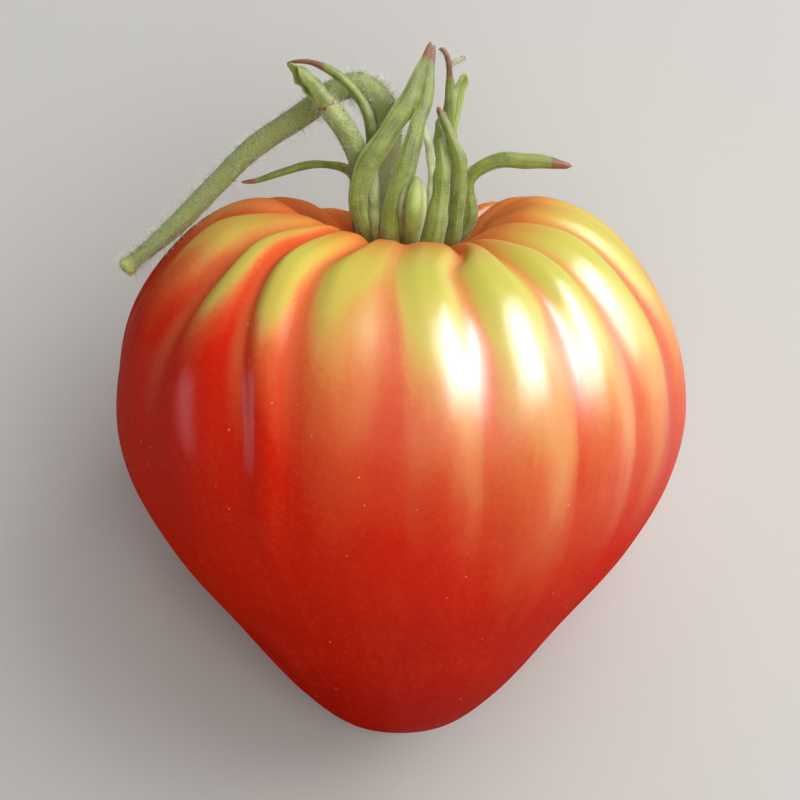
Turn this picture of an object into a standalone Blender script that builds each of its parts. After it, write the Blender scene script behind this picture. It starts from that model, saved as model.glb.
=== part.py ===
"""Oxheart tomato as picked: a ribbed, heart-shaped fruit, its green calyx and its arched stalk.

Shapes are described in the fruit's own frame, in millimetres: u to the right, v to the rear and w up from
the tip to the stalk. The fruit then leans back onto its rear flank, where a small flat spot carries it.
The origin is the middle of that flat spot, +Z is up, and +Y runs from the tip's side to the stalk's side.
"""

import math

import bmesh
import bpy
from mathutils import Matrix, Vector

MM = 0.001

# How the fruit lies: its axis leans back from upright, and its weight flattens the skin it lies on
REST_LEAN = math.radians(58)
FLAT_SPOT_DEPTH = 0.8

# The fruit's outline from the tip, past the shoulder, to the floor of the stalk cavity.
# Each row is radius and height across the width, then radius and height across the depth.
OUTLINE = (
    (0.0, 0.0, 0.0, 0.0),
    (9.3, 1.9, 8.9, 1.9),
    (18.0, 8.4, 16.8, 8.4),
    (29.3, 21.2, 26.6, 21.2),
    (40.0, 34.0, 35.8, 34.0),
    (47.4, 46.8, 42.0, 46.6),
    (50.1, 59.7, 44.3, 58.8),
    (47.6, 74.8, 42.0, 71.6),
    (39.6, 87.1, 35.0, 82.2),
    (30.8, 93.6, 25.6, 87.8),
    (22.4, 95.3, 16.4, 89.7),
    (16.8, 92.2, 11.8, 88.0),
    (11.8, 86.8, 8.0, 84.8),
    (0.0, 83.0, 0.0, 83.0),
)
WAIST = 6
CREST = 10
GROOVE_FOOT = 3
GROOVE_SHOULDER = 8
CAVITY_WALL = 12
ROWS_PER_KNOT = 2
COLUMNS_PER_LOBE = 5

# The grooves between the ribs: bearing at the crest, at the shoulder and at the waist, in degrees to the
# right of the front, and depth at the shoulder
GROOVES = (
    (-62, -84, -88, 1.5), (-43, -54, -61, 1.8), (-37, -42, -35, 1.7), (-19.5, -27, -24, 1.7),
    (3, -2, -1, 1.1),
    (33, 18.5, 18.5, 2.4), (41, 40, 40, 2.1), (50, 53, 56, 1.6), (68, 71, 72, 1.7), (88, 88, 89, 1.8),
    (105, 107, 109, 1.6), (122, 129, 127, 2.0), (139, 149, 149, 1.7), (156, 167, 170, 2.1),
    (177, 189, 190, 1.6), (200, 210, 209, 2.0), (224, 229, 228, 1.7), (258, 252, 250, 1.9),
)
SHOULDER = 8.6
GROOVE_SHARPNESS = 1.5
GROOVE_FADE = 1.5

# The rim of the cavity sags at the right of its front: bearing and width of the sag in degrees, its depth,
# and how many knots of the outline it spans
RIM_DIP = (46, 26, 3.0, 1.5)

# The receptacle: the pad that the sepals grow from, seated in the cavity
SEAT_GAP = 0.4
PAD_HEIGHT = 3.2
PAD_COLUMNS = 24
PAD_DOME = (0.75, 0.4)

# Broad sepals. Each has the way its outer face looks at the root, then its route from the root as
# (u, v, w, width). The first point is sunk in the pad.
SEPALS = {
    "left_front": ((0.2, -1, 0), (
        (-3.8, -4.0, 86.2, 2.8), (-5.4, -6.5, 89.8, 3.2), (-7.1, -8.2, 95.4, 3.6), (-6.1, -8.6, 100.6, 4.0),
        (-3.7, -8.2, 104.6, 4.2), (-1.2, -7.4, 108.4, 4.0), (1.4, -6.4, 112.2, 3.8), (3.0, -5.4, 116.0, 2.9),
        (4.4, -4.6, 119.4, 1.9), (5.3, -4.0, 122.4, 0.8))),
    "middle_front": ((0.1, -1, 0), (
        (-0.6, -4.6, 85.8, 3.4), (-1.5, -8.0, 89.2, 4.4), (-1.2, -9.0, 92.9, 4.2), (-0.5, -9.4, 96.9, 4.0),
        (1.0, -9.4, 101.0, 4.1), (1.9, -8.8, 104.7, 3.4), (3.0, -7.6, 108.4, 3.0), (4.2, -5.6, 112.1, 2.8),
        (5.0, -4.2, 115.7, 2.2), (5.3, -3.2, 118.7, 1.5), (5.9, -2.4, 121.8, 0.7))),
    "inner_strip": ((0.5, -1, 0), (
        (3.2, -4.4, 85.8, 1.8), (4.8, -6.6, 91.0, 2.2), (5.6, -7.2, 97.0, 2.2), (5.6, -7.0, 101.0, 2.0),
        (5.0, -6.6, 104.6, 1.8), (4.0, -6.2, 108.4, 1.3), (3.8, -5.8, 111.4, 0.7))),
    "right_front": ((0.1, -1, 0), (
        (3.9, -4.0, 85.8, 3.4), (5.3, -7.4, 88.4, 4.3), (6.3, -8.0, 92.7, 3.6), (6.8, -7.8, 96.7, 3.3),
        (7.1, -7.2, 100.6, 3.1), (6.8, -6.2, 104.2, 2.5), (6.7, -5.2, 106.8, 1.8), (6.5, -4.4, 109.4, 0.7))),
    "rear_lobe": ((-0.2, 1, 0), (
        (8.6, 1.9, 103.0, 1.0), (9.5, 1.4, 109.0, 2.1), (10.3, 1.0, 113.5, 2.8), (11.3, 0.6, 116.0, 1.8),
        (11.8, 0.4, 117.0, 0.7))),
    "rear_left": ((-0.3, 1, 0), (
        (-3.0, 3.8, 85.8, 3.2), (-4.3, 7.8, 90.0, 4.0), (-5.1, 11.6, 92.8, 4.2), (-5.8, 16.0, 93.0, 3.4),
        (-6.4, 20.0, 91.4, 2.2), (-6.8, 23.4, 89.4, 0.8))),
    "rear_middle": ((0, 1, 0), (
        (1.0, 4.4, 85.8, 3.4), (1.6, 8.4, 90.0, 4.4), (2.0, 12.6, 93.0, 4.4), (2.6, 17.2, 93.0, 3.6),
        (3.0, 21.6, 91.0, 2.2), (3.4, 25.2, 88.8, 0.8))),
    "rear_right": ((0.5, 1, 0), (
        (6.2, 2.8, 86.2, 3.0), (8.6, 6.6, 90.2, 3.8), (10.4, 10.6, 93.2, 3.8), (11.8, 14.8, 94.0, 3.2),
        (12.8, 18.4, 93.0, 2.2), (13.4, 21.2, 91.2, 0.8))),
}
SEPAL_THICKNESS = 0.9
SEPAL_TROUGH = 0.45
SEPAL_STEPS = 2
SEPAL_SPANS = 4

# Round growths on the calyx as (u, v, w, width): the narrow sepals that have rolled up, a folded bud and the
# thick, hairy, rolled sepal
ROUND_GROWTHS = {
    "slim_front": (
        (-2.8, -4.6, 85.8, 1.6), (-4.0, -7.6, 89.4, 1.8), (-4.3, -8.2, 93.4, 1.9), (-4.4, -7.4, 97.4, 1.7),
        (-4.0, -6.2, 100.9, 0.8)),
    "right_hooked": (
        (6.8, -2.8, 86.8, 2.4), (9.0, -5.2, 89.0, 2.7), (9.6, -6.2, 92.4, 2.6), (9.9, -6.5, 96.4, 2.7),
        (10.3, -6.7, 99.8, 2.7), (10.1, -7.0, 102.4, 2.5), (9.4, -7.0, 104.6, 2.2), (8.4, -6.9, 107.0, 1.8),
        (7.4, -6.6, 109.4, 1.5), (6.5, -6.2, 111.2, 0.8)),
    "right_arched": (
        (7.0, -1.2, 87.2, 2.4), (10.4, -2.4, 89.4, 2.7), (11.9, -3.2, 92.8, 3.1), (11.6, -3.8, 96.4, 2.6),
        (11.7, -4.4, 98.6, 2.3), (13.0, -4.9, 100.4, 2.4), (15.2, -5.4, 101.8, 2.7), (18.0, -5.8, 102.4, 2.8),
        (22.0, -6.2, 102.3, 2.7), (25.4, -6.6, 102.0, 2.3), (29.0, -7.0, 101.4, 0.8)),
    "left_arched": (
        (-5.4, 0.6, 86.0, 2.8), (-7.0, 1.0, 90.2, 2.6), (-7.2, 1.2, 94.8, 2.4), (-7.6, 1.4, 98.6, 2.2),
        (-9.8, 1.5, 100.6, 2.0), (-13.2, 1.6, 101.1, 1.8), (-17.0, 1.7, 100.7, 1.6), (-21.2, 1.8, 99.3, 1.3),
        (-25.0, 1.9, 98.1, 1.0), (-27.3, 1.9, 97.8, 0.7)),
    "left_curled": (
        (-3.8, -1.4, 86.0, 2.2), (-5.7, -2.6, 90.2, 2.2), (-6.0, -3.2, 95.1, 2.1), (-5.3, -3.7, 101.0, 2.0),
        (-4.8, -4.2, 106.2, 1.9), (-6.0, -4.6, 111.1, 1.8), (-8.8, -4.8, 115.2, 1.7),
        (-12.3, -4.4, 117.7, 1.4), (-15.3, -3.7, 118.9, 1.0), (-18.6, -3.0, 118.9, 0.7)),
    "tall_rear": (
        (4.6, 2.6, 86.0, 2.8), (7.2, 3.4, 90.2, 3.0), (8.4, 3.0, 97.0, 3.0), (8.7, 2.4, 103.8, 2.5),
        (8.6, 1.8, 109.7, 2.2), (8.6, 1.4, 113.6, 1.9), (8.6, 1.1, 116.4, 1.2), (8.4, 0.9, 118.3, 1.0),
        (7.9, 0.7, 120.0, 0.9), (6.9, 0.4, 120.8, 0.8)),
    "folded_bud": (
        (1.4, -4.8, 85.8, 2.6), (1.7, -8.0, 88.8, 3.2), (1.9, -9.8, 91.6, 4.2), (2.1, -10.6, 94.6, 5.0),
        (2.4, -10.6, 97.2, 4.4), (2.7, -10.2, 99.0, 2.8), (2.9, -9.8, 99.6, 1.2)),
    "rolled_sepal": (
        (-4.4, -2.4, 85.8, 2.6), (-6.4, -4.6, 91.2, 3.1), (-6.8, -5.2, 97.0, 3.4), (-7.2, -5.4, 102.8, 3.7),
        (-9.2, -5.6, 107.3, 3.8), (-11.9, -5.7, 111.0, 3.7), (-13.8, -5.9, 113.6, 3.5),
        (-15.6, -5.8, 115.6, 3.3), (-17.4, -5.6, 117.2, 2.8), (-18.7, -5.2, 118.4, 1.4)),
}
GROWTH_SIDES = 8
GROWTH_STEPS = 2

# The stalk as (u, v, w, width): up out of the calyx, over an arch and down past the left shoulder
STALK = (
    (-2.3, 0.2, 89.2, 4.4), (-2.3, 0.1, 97.5, 4.0), (-2.1, 0.0, 103.1, 4.1), (-2.0, 0.0, 107.4, 4.4),
    (-2.8, 0.0, 110.9, 4.5), (-4.7, 0.0, 113.5, 4.4), (-7.4, 0.0, 114.8, 4.3), (-10.6, 0.0, 114.0, 4.2),
    (-17.2, 0.1, 109.4, 4.1), (-25.4, 0.2, 103.9, 3.8), (-31.9, 0.3, 97.6, 3.7), (-38.8, 0.5, 90.6, 3.5),
    (-43.4, 0.6, 86.6, 2.9), (-46.4, 0.7, 84.2, 2.5), (-47.6, 0.8, 82.9, 3.1),
)
STALK_SIDES = 10
STALK_STEPS = 3


def clear_scene():
    """Empty the scene, so that the script can be run again in an open file."""
    for thing in list(bpy.data.objects):
        bpy.data.objects.remove(thing, do_unlink=True)


def smoothstep(value, low, high):
    """Rise smoothly from 0 at low to 1 at high."""
    x = min(max((value - low) / (high - low), 0.0), 1.0)
    return x * x * (3.0 - 2.0 * x)


def smooth_curve(knots, steps):
    """Points on a centripetal Catmull-Rom curve through the knots, with a number of steps in each span."""
    knots = [Vector(knot) for knot in knots]
    before = 2.0 * knots[0] - knots[1]
    after = 2.0 * knots[-1] - knots[-2]
    chain = [before, *knots, after]
    points = []
    for a, b, c, d in zip(chain, chain[1:], chain[2:], chain[3:]):
        t1 = (b - a).length ** 0.5
        t2 = t1 + (c - b).length ** 0.5
        t3 = t2 + (d - c).length ** 0.5
        for step in range(steps):
            t = t1 + (t2 - t1) * step / steps
            ab = a.lerp(b, t / t1)
            bc = b.lerp(c, (t - t1) / (t2 - t1))
            cd = c.lerp(d, (t - t2) / (t3 - t2))
            left = ab.lerp(bc, t / t2)
            right = bc.lerp(cd, (t - t1) / (t3 - t1))
            points.append(left.lerp(right, (t - t1) / (t2 - t1)))
    points.append(knots[-1])
    return points


def outline_rows():
    """The outline's rows from tip to cavity floor, each with its place among the knots."""
    rows = smooth_curve(OUTLINE, ROWS_PER_KNOT)
    return [(index / ROWS_PER_KNOT, row) for index, row in enumerate(rows)]


def outline_point(row, bearing):
    """Radius and height of a row at a bearing, between the outline across the width and across the depth."""
    side = math.sin(bearing) ** 2
    return Vector((row[2] + (row[0] - row[2]) * side, row[3] + (row[1] - row[3]) * side))


def bell(value, centre, width):
    """A bell of height 1 round a centre."""
    return math.exp(-(((value - centre) / width) ** 2))


def groove_bearing(index, place):
    """A groove's bearing, which drifts from the waist over the shoulder to the crest."""
    turns, groove = divmod(index, len(GROOVES))
    crest, shoulder, waist, _ = GROOVES[groove]
    bearing = waist + (shoulder - waist) * smoothstep(place, WAIST, SHOULDER)
    bearing += (crest - shoulder) * smoothstep(place, SHOULDER, CREST)
    return math.radians(bearing + 360.0 * turns)


def groove_depth(lobe, across, place):
    """How far the skin sinks at a point across a rib, from groove to groove."""
    left = GROOVES[lobe][3]
    right = GROOVES[(lobe + 1) % len(GROOVES)][3]
    depth = left + (right - left) * smoothstep(across, 0.0, 1.0)
    valley = (1.0 - math.sin(math.pi * across)) ** GROOVE_SHARPNESS
    rise = (place - GROOVE_FOOT) / (GROOVE_SHOULDER - GROOVE_FOOT)
    reach = min(max(rise, 0.0), 1.0) ** GROOVE_FADE
    floor = 1.0 - smoothstep(place, CREST + 1, len(OUTLINE) - 1)
    return depth * valley * reach * floor


def around(radius, bearing, height):
    """A point in the fruit's frame from its radius, its bearing from the front and its height."""
    return Vector((radius * math.sin(bearing), -radius * math.cos(bearing), height))


def sagged_point(row, place, bearing):
    """The outline's point at a bearing, lowered where the rim sags."""
    at, width, depth, span = RIM_DIP
    here = outline_point(row, bearing)
    here.y -= depth * bell(math.degrees(bearing), at, width) * bell(place, CREST, span)
    return here


def skin_point(rows, index, lobe, across):
    """A point of the ribbed skin, sunk along the outline's normal."""
    place, row = rows[index]
    left = groove_bearing(lobe, place)
    right = groove_bearing(lobe + 1, place)
    bearing = left + (right - left) * across
    here = sagged_point(row, place, bearing)
    ahead_place, ahead = rows[index + 1]
    behind_place, behind = rows[index - 1]
    along = sagged_point(ahead, ahead_place, bearing) - sagged_point(behind, behind_place, bearing)
    normal = Vector((along.y, -along.x)).normalized()
    here -= normal * groove_depth(lobe, across, place)
    return around(here.x, bearing, here.y)


def bridge_rings(mesh, first, second):
    """Join two rings of the same count with triangles, cut the same way all round."""
    count = len(first)
    for i in range(count):
        j = (i + 1) % count
        mesh.faces.new((first[i], first[j], second[j]))
        mesh.faces.new((first[i], second[j], second[i]))


def close_ring(mesh, ring, point):
    """Close a ring with a fan of triangles to a point."""
    apex = mesh.verts.new(point)
    count = len(ring)
    for i in range(count):
        mesh.faces.new((ring[i], apex, ring[(i + 1) % count]))


def rings_to_mesh(rings, start, end):
    """A closed mesh from rings of points, with a pole at each end."""
    mesh = bmesh.new()
    made = [[mesh.verts.new(point) for point in ring] for ring in rings]
    for first, second in zip(made, made[1:]):
        bridge_rings(mesh, first, second)
    close_ring(mesh, list(reversed(made[0])), start)
    close_ring(mesh, made[-1], end)
    bmesh.ops.recalc_face_normals(mesh, faces=mesh.faces)
    return mesh


def lay_down():
    """The turn that leans the fruit's frame back from upright."""
    lean = Matrix.Rotation(-REST_LEAN, 4, "X")
    return lean @ Matrix.Scale(MM, 4)


def material(name, color, roughness, coat):
    """A Principled material with one colour and a waxy coat."""
    finish = bpy.data.materials.new(name)
    finish.use_nodes = True
    shader = finish.node_tree.nodes["Principled BSDF"]
    shader.inputs["Base Color"].default_value = (*color, 1.0)
    shader.inputs["Roughness"].default_value = roughness
    shader.inputs["Metallic"].default_value = 0.0
    shader.inputs["Coat Weight"].default_value = coat
    return finish


def add_object(name, mesh, finish):
    """Put a bmesh into the scene as a named object, shaded smooth but for its sharp edges."""
    data = bpy.data.meshes.new(name)
    mesh.to_mesh(data)
    mesh.free()
    data.materials.append(finish)
    data.shade_smooth()
    data.set_sharp_from_angle(angle=math.radians(50))
    thing = bpy.data.objects.new(name, data)
    bpy.context.scene.collection.objects.link(thing)
    return thing


def fruit_mesh():
    """The ribbed fruit in its own frame."""
    rows = outline_rows()
    rings = []
    for index in range(1, len(rows) - 1):
        ring = []
        for lobe in range(len(GROOVES)):
            for column in range(COLUMNS_PER_LOBE):
                ring.append(skin_point(rows, index, lobe, column / COLUMNS_PER_LOBE))
        rings.append(ring)
    return rings_to_mesh(rings, (0, 0, 0), (0, 0, OUTLINE[-1][1]))


def flatten(mesh):
    """Cut the flat spot that the fruit lies on, and return the move that puts its middle at the origin."""
    level = min(vert.co.z for vert in mesh.verts) + FLAT_SPOT_DEPTH * MM
    geometry = mesh.verts[:] + mesh.edges[:] + mesh.faces[:]
    cut = bmesh.ops.bisect_plane(
        mesh, geom=geometry, dist=1e-7, plane_co=(0, 0, level), plane_no=(0, 0, -1), clear_outer=True)
    rim = [item for item in cut["geom_cut"] if isinstance(item, bmesh.types.BMEdge)]
    face = bmesh.ops.contextual_create(mesh, geom=rim)["faces"][0]
    bmesh.ops.recalc_face_normals(mesh, faces=mesh.faces)
    middle = face.calc_center_median_weighted()
    return Matrix.Translation((-middle.x, -middle.y, -level))


def frames(points, facing):
    """Side and normal directions along a route, carried along it without twisting."""
    normal = Vector(facing)
    result = []
    for index, point in enumerate(points):
        ahead = points[min(index + 1, len(points) - 1)]
        behind = points[max(index - 1, 0)]
        tangent = (ahead - behind).normalized()
        normal = (normal - tangent * normal.dot(tangent)).normalized()
        result.append((tangent.cross(normal), normal))
    return result


def sepal_mesh(facing, route):
    """One sepal: a thin, troughed blade that follows its route, split alike on both faces."""
    stations = smooth_curve(route, SEPAL_STEPS)
    points = [station.xyz for station in stations]
    route_widths = smooth_curve([(knot[3], index) for index, knot in enumerate(route)], SEPAL_STEPS)
    mesh = bmesh.new()
    outer = []
    inner = []
    for point, width, (side, normal) in zip(points, route_widths, frames(points, facing)):
        half = width[0] / 2
        rows = ([], [])
        for span in range(SEPAL_SPANS + 1):
            across = 2.0 * span / SEPAL_SPANS - 1.0
            middle = point + side * (half * across) - normal * (SEPAL_TROUGH * half * across * across)
            rows[0].append(mesh.verts.new(middle + normal * (SEPAL_THICKNESS / 2)))
            rows[1].append(mesh.verts.new(middle - normal * (SEPAL_THICKNESS / 2)))
        outer.append(rows[0])
        inner.append(rows[1])
    for here, there, under, ahead in zip(outer, outer[1:], inner, inner[1:]):
        for a in range(SEPAL_SPANS):
            b = a + 1
            mesh.faces.new((here[a], here[b], there[b]))
            mesh.faces.new((here[a], there[b], there[a]))
            mesh.faces.new((under[b], under[a], ahead[b]))
            mesh.faces.new((ahead[b], under[a], ahead[a]))
        for edge in (0, SEPAL_SPANS):
            mesh.faces.new((here[edge], there[edge], ahead[edge], under[edge]))
    for over, below in ((outer[0], inner[0]), (outer[-1], inner[-1])):
        mesh.faces.new((*over, *reversed(below)))
    bmesh.ops.recalc_face_normals(mesh, faces=mesh.faces)
    bmesh.ops.triangulate(mesh, faces=[face for face in mesh.faces if len(face.verts) > 3])
    return mesh


def round_mesh(route, sides, steps):
    """A round growth or stalk along its route, closed with a blunt dome at each end."""
    stations = smooth_curve([knot[:3] for knot in route], steps)
    widths = smooth_curve([(knot[3], index) for index, knot in enumerate(route)], steps)
    rings = []
    directions = frames(stations, (0, -1, 0))
    for point, width, (side, normal) in zip(stations, widths, directions):
        ring = []
        for corner in range(sides):
            turn = math.tau * corner / sides
            ring.append(point + (side * math.cos(turn) + normal * math.sin(turn)) * (width[0] / 2))
        rings.append(ring)
    start = stations[0] + (stations[0] - stations[1]).normalized() * (widths[0][0] * 0.1)
    end = stations[-1] + (stations[-1] - stations[-2]).normalized() * (widths[-1][0] * 0.4)
    return rings_to_mesh(rings, start, end)


def pad_mesh():
    """The receptacle: its underside follows the cavity a gap away, and its top is a low dome."""
    rows = outline_rows()
    first = ROWS_PER_KNOT * CAVITY_WALL
    rings = []
    for index in range(len(rows) - 2, first - 1, -1):
        ring = []
        for column in range(PAD_COLUMNS):
            bearing = math.tau * column / PAD_COLUMNS
            here = outline_point(rows[index][1], bearing)
            along = outline_point(rows[index + 1][1], bearing) - outline_point(rows[index - 1][1], bearing)
            here += Vector((along.y, -along.x)).normalized() * SEAT_GAP
            ring.append(around(here.x, bearing, here.y))
        rings.append(ring)
    rim = rings[-1]
    top = OUTLINE[-1][1] + SEAT_GAP + PAD_HEIGHT
    for share in PAD_DOME:
        ring = []
        for point in rim:
            height = point.z + (top - point.z) * (1.0 - share * share)
            ring.append(Vector((point.x * share, point.y * share, height)))
        rings.append(ring)
    return rings_to_mesh(rings, (0, 0, OUTLINE[-1][1] + SEAT_GAP), (0, 0, top))


def build_calyx(place, finish):
    """The pad with its sepals and round growths, joined into one body."""
    parts = bpy.data.collections.new("calyx_growths")
    bpy.context.scene.collection.children.link(parts)
    growths = [(name, sepal_mesh(facing, route)) for name, (facing, route) in SEPALS.items()]
    for name, route in ROUND_GROWTHS.items():
        growths.append((name, round_mesh(route, GROWTH_SIDES, GROWTH_STEPS)))
    for name, mesh in growths:
        mesh.transform(place)
        thing = add_object(name, mesh, finish)
        bpy.context.scene.collection.objects.unlink(thing)
        parts.objects.link(thing)
    pad = pad_mesh()
    pad.transform(place)
    calyx = add_object("calyx", pad, finish)
    union = calyx.modifiers.new("join_growths", "BOOLEAN")
    union.operation = "UNION"
    union.operand_type = "COLLECTION"
    union.collection = parts
    union.solver = "EXACT"
    graph = bpy.context.evaluated_depsgraph_get()
    joined = bpy.data.meshes.new_from_object(calyx.evaluated_get(graph))
    calyx.modifiers.clear()
    calyx.data = joined
    for thing in list(parts.objects):
        bpy.data.objects.remove(thing, do_unlink=True)
    bpy.data.collections.remove(parts)
    return calyx


def main():
    """Build the fruit, lay it down, and grow the calyx and the stalk on it."""
    clear_scene()
    skin = material("ripe_skin", (0.68, 0.06, 0.02), 0.25, 0.5)
    sepal_green = material("sepal_green", (0.24, 0.31, 0.055), 0.55, 0.0)
    stalk_green = material("stalk_green", (0.25, 0.32, 0.08), 0.65, 0.0)
    place = lay_down()
    fruit = fruit_mesh()
    fruit.transform(place)
    shift = flatten(fruit)
    fruit.transform(shift)
    place = shift @ place
    add_object("fruit", fruit, skin)
    build_calyx(place, sepal_green)
    stalk = round_mesh(STALK, STALK_SIDES, STALK_STEPS)
    stalk.transform(place)
    add_object("stalk", stalk, stalk_green)


main()
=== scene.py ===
"""Looks of the oxheart tomato: its ribbed skin, its sepals, its stalk and their hairs, on a pale floor.

Shapes are described as in the solids: u to the right, v to the rear and w up from the fruit's tip, in
millimetres. That frame leans back from upright, because the fruit lies on its rear flank.
"""

import math

import bpy
import numpy as np
from bpy.props import FloatProperty, FloatVectorProperty, IntProperty, PointerProperty
from mathutils import Matrix, Vector, noise


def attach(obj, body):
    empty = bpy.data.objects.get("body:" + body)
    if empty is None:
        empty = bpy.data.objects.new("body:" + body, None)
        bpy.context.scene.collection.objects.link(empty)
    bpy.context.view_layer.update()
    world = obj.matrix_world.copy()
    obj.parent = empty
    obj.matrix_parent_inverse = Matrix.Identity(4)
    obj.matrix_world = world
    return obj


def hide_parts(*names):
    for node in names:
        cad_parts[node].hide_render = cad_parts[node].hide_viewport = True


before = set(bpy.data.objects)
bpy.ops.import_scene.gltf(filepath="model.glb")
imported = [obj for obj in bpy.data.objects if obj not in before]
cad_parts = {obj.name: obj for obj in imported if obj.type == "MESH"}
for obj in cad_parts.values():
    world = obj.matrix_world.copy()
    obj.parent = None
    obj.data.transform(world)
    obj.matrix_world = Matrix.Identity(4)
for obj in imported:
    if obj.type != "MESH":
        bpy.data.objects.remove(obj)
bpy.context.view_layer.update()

bl_info = {
    "name": "Oxheart tomato",
    "version": (1, 0, 0),
    "blender": (4, 5, 0),
    "location": "3D View > Sidebar > Tomato",
    "description": "Builds a ribbed oxheart tomato with its calyx, stalk and hairs",
    "category": "Add Mesh",
}

MM = 0.001
FRONT = (0, -1, 0)
REST_LEAN = math.radians(58)

# The picture: its width in pixels, its scale at the fruit's middle, the width of the camera's sensor in
# millimetres and how far above the fruit's waist the camera stands, in degrees
PICTURE_WIDTH = 800
PIXELS_PER_MM = 5.7
CAMERA_SENSOR = 36.0
VIEW_ELEVATION = 10.0

# The fruit's outline from tip to cavity floor: radius and height across the width, then across the depth
OUTLINE = (
    (0.0, 0.0, 0.0, 0.0),
    (9.3, 1.9, 8.9, 1.9),
    (18.0, 8.4, 16.8, 8.4),
    (29.3, 21.2, 26.6, 21.2),
    (40.0, 34.0, 35.8, 34.0),
    (47.4, 46.8, 42.0, 46.6),
    (50.1, 59.7, 44.3, 58.8),
    (47.6, 74.8, 42.0, 71.6),
    (39.6, 87.1, 35.0, 82.2),
    (30.8, 93.6, 25.6, 87.8),
    (22.4, 95.3, 16.4, 89.7),
    (16.8, 92.2, 11.8, 88.0),
    (11.8, 86.8, 8.0, 84.8),
    (0.0, 83.0, 0.0, 83.0),
)
# Places along the outline, counted in its points: where the grooves begin, the waist, where the grooves reach
# their full depth, the shoulder, the rim's crest and the pad's edge on the cavity's wall
GROOVE_FOOT = 3
WAIST = 6
GROOVE_SHOULDER = 8
SHOULDER = 8.6
CREST = 10
CAVITY_WALL = 12

# One row for each groove and the rib to its right: bearing at the crest, at the shoulder and at the waist
# in degrees to the right of the front, and groove depth at the shoulder
GROOVES = (
    (-62, -84, -88, 1.5), (-43, -54, -61, 1.8), (-37, -42, -35, 1.7), (-19.5, -27, -24, 1.7),
    (3, -2, -1, 0.6),
    (33, 18.5, 18.5, 1.9), (41, 40, 40, 1.9), (50, 53, 56, 1.6), (68, 71, 72, 1.7), (88, 88, 89, 1.8),
    (105, 107, 109, 1.6), (122, 129, 127, 2.0), (139, 149, 149, 1.7), (156, 167, 170, 2.1),
    (177, 189, 190, 1.6), (200, 210, 209, 2.0), (224, 229, 228, 1.7), (258, 252, 250, 1.9),
)
# How the same ribs ripen. Heights where the green tongue ends, where orange has given way to red and where
# the pale streak ends. Then the streak's place across the rib, how red the groove to the rib's left is, the
# tongue's place across the rib and how much higher the green ends half a rib to its side.
RIPENING = (
    (88, 76, 82, 0.6, 0.7, 0.45, 7), (79, 68, 74, 0.2, 0.8, 0.15, 8), (78, 65, 72, 0.5, 0.9, 0.5, 10),
    (78.5, 36, 60, 0.73, 0.9, 0.15, 5), (70, 40, 43, 0.85, 0.45, 0.35, 2), (68, 20, 28, 0.86, 1.0, 0.3, 4),
    (71, 32, 34, 0.88, 0.9, 0.4, 3), (71, 38, 40, 0.45, 0.8, 0.4, 5), (80, 42, 54, 0.6, 0.9, 0.4, 7),
    (84, 44, 54, 0.5, 0.6, 0.5, 5), (82, 46, 56, 0.7, 0.9, 0.5, 8), (76, 40, 46, 0.4, 0.5, 0.4, 6),
    (80, 50, 58, 0.6, 1.0, 0.6, 8), (76, 44, 50, 0.7, 0.7, 0.5, 6), (78, 52, 62, 0.3, 0.9, 0.4, 8),
    (80, 46, 54, 0.6, 0.5, 0.5, 5), (92, 60, 66, 0.5, 0.9, 0.5, 4), (96, 72, 80, 0.6, 1.0, 0.5, 4),
)
# The low place in the rim: its bearing, half its width in degrees, its depth and its reach along the outline
RIM_DIP = (46, 26, 3.0, 1.5)
# How sharp the grooves are below and at the crest, how slowly they deepen, by how many degrees the ribs
# spread towards the tip, and how wide a pale streak is as a share of its rib
GROOVE_WIDTHS = (1.2, 2.6)
GROOVE_FADE = 1.5
RIB_SPREAD = 9.5
STREAK_WIDTH = 0.26
# Millimetres over which a rib turns full green, and the least over which its orange gives way to red
GREEN_RISE = 14.0
ORANGE_LEAST = 12.0
# The skin's slow unevenness and the scar at the tip, in millimetres
HILL_HEIGHT = 0.35
SCAR_RADIUS = 1.6
SCAR_DEPTH = 0.5

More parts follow.
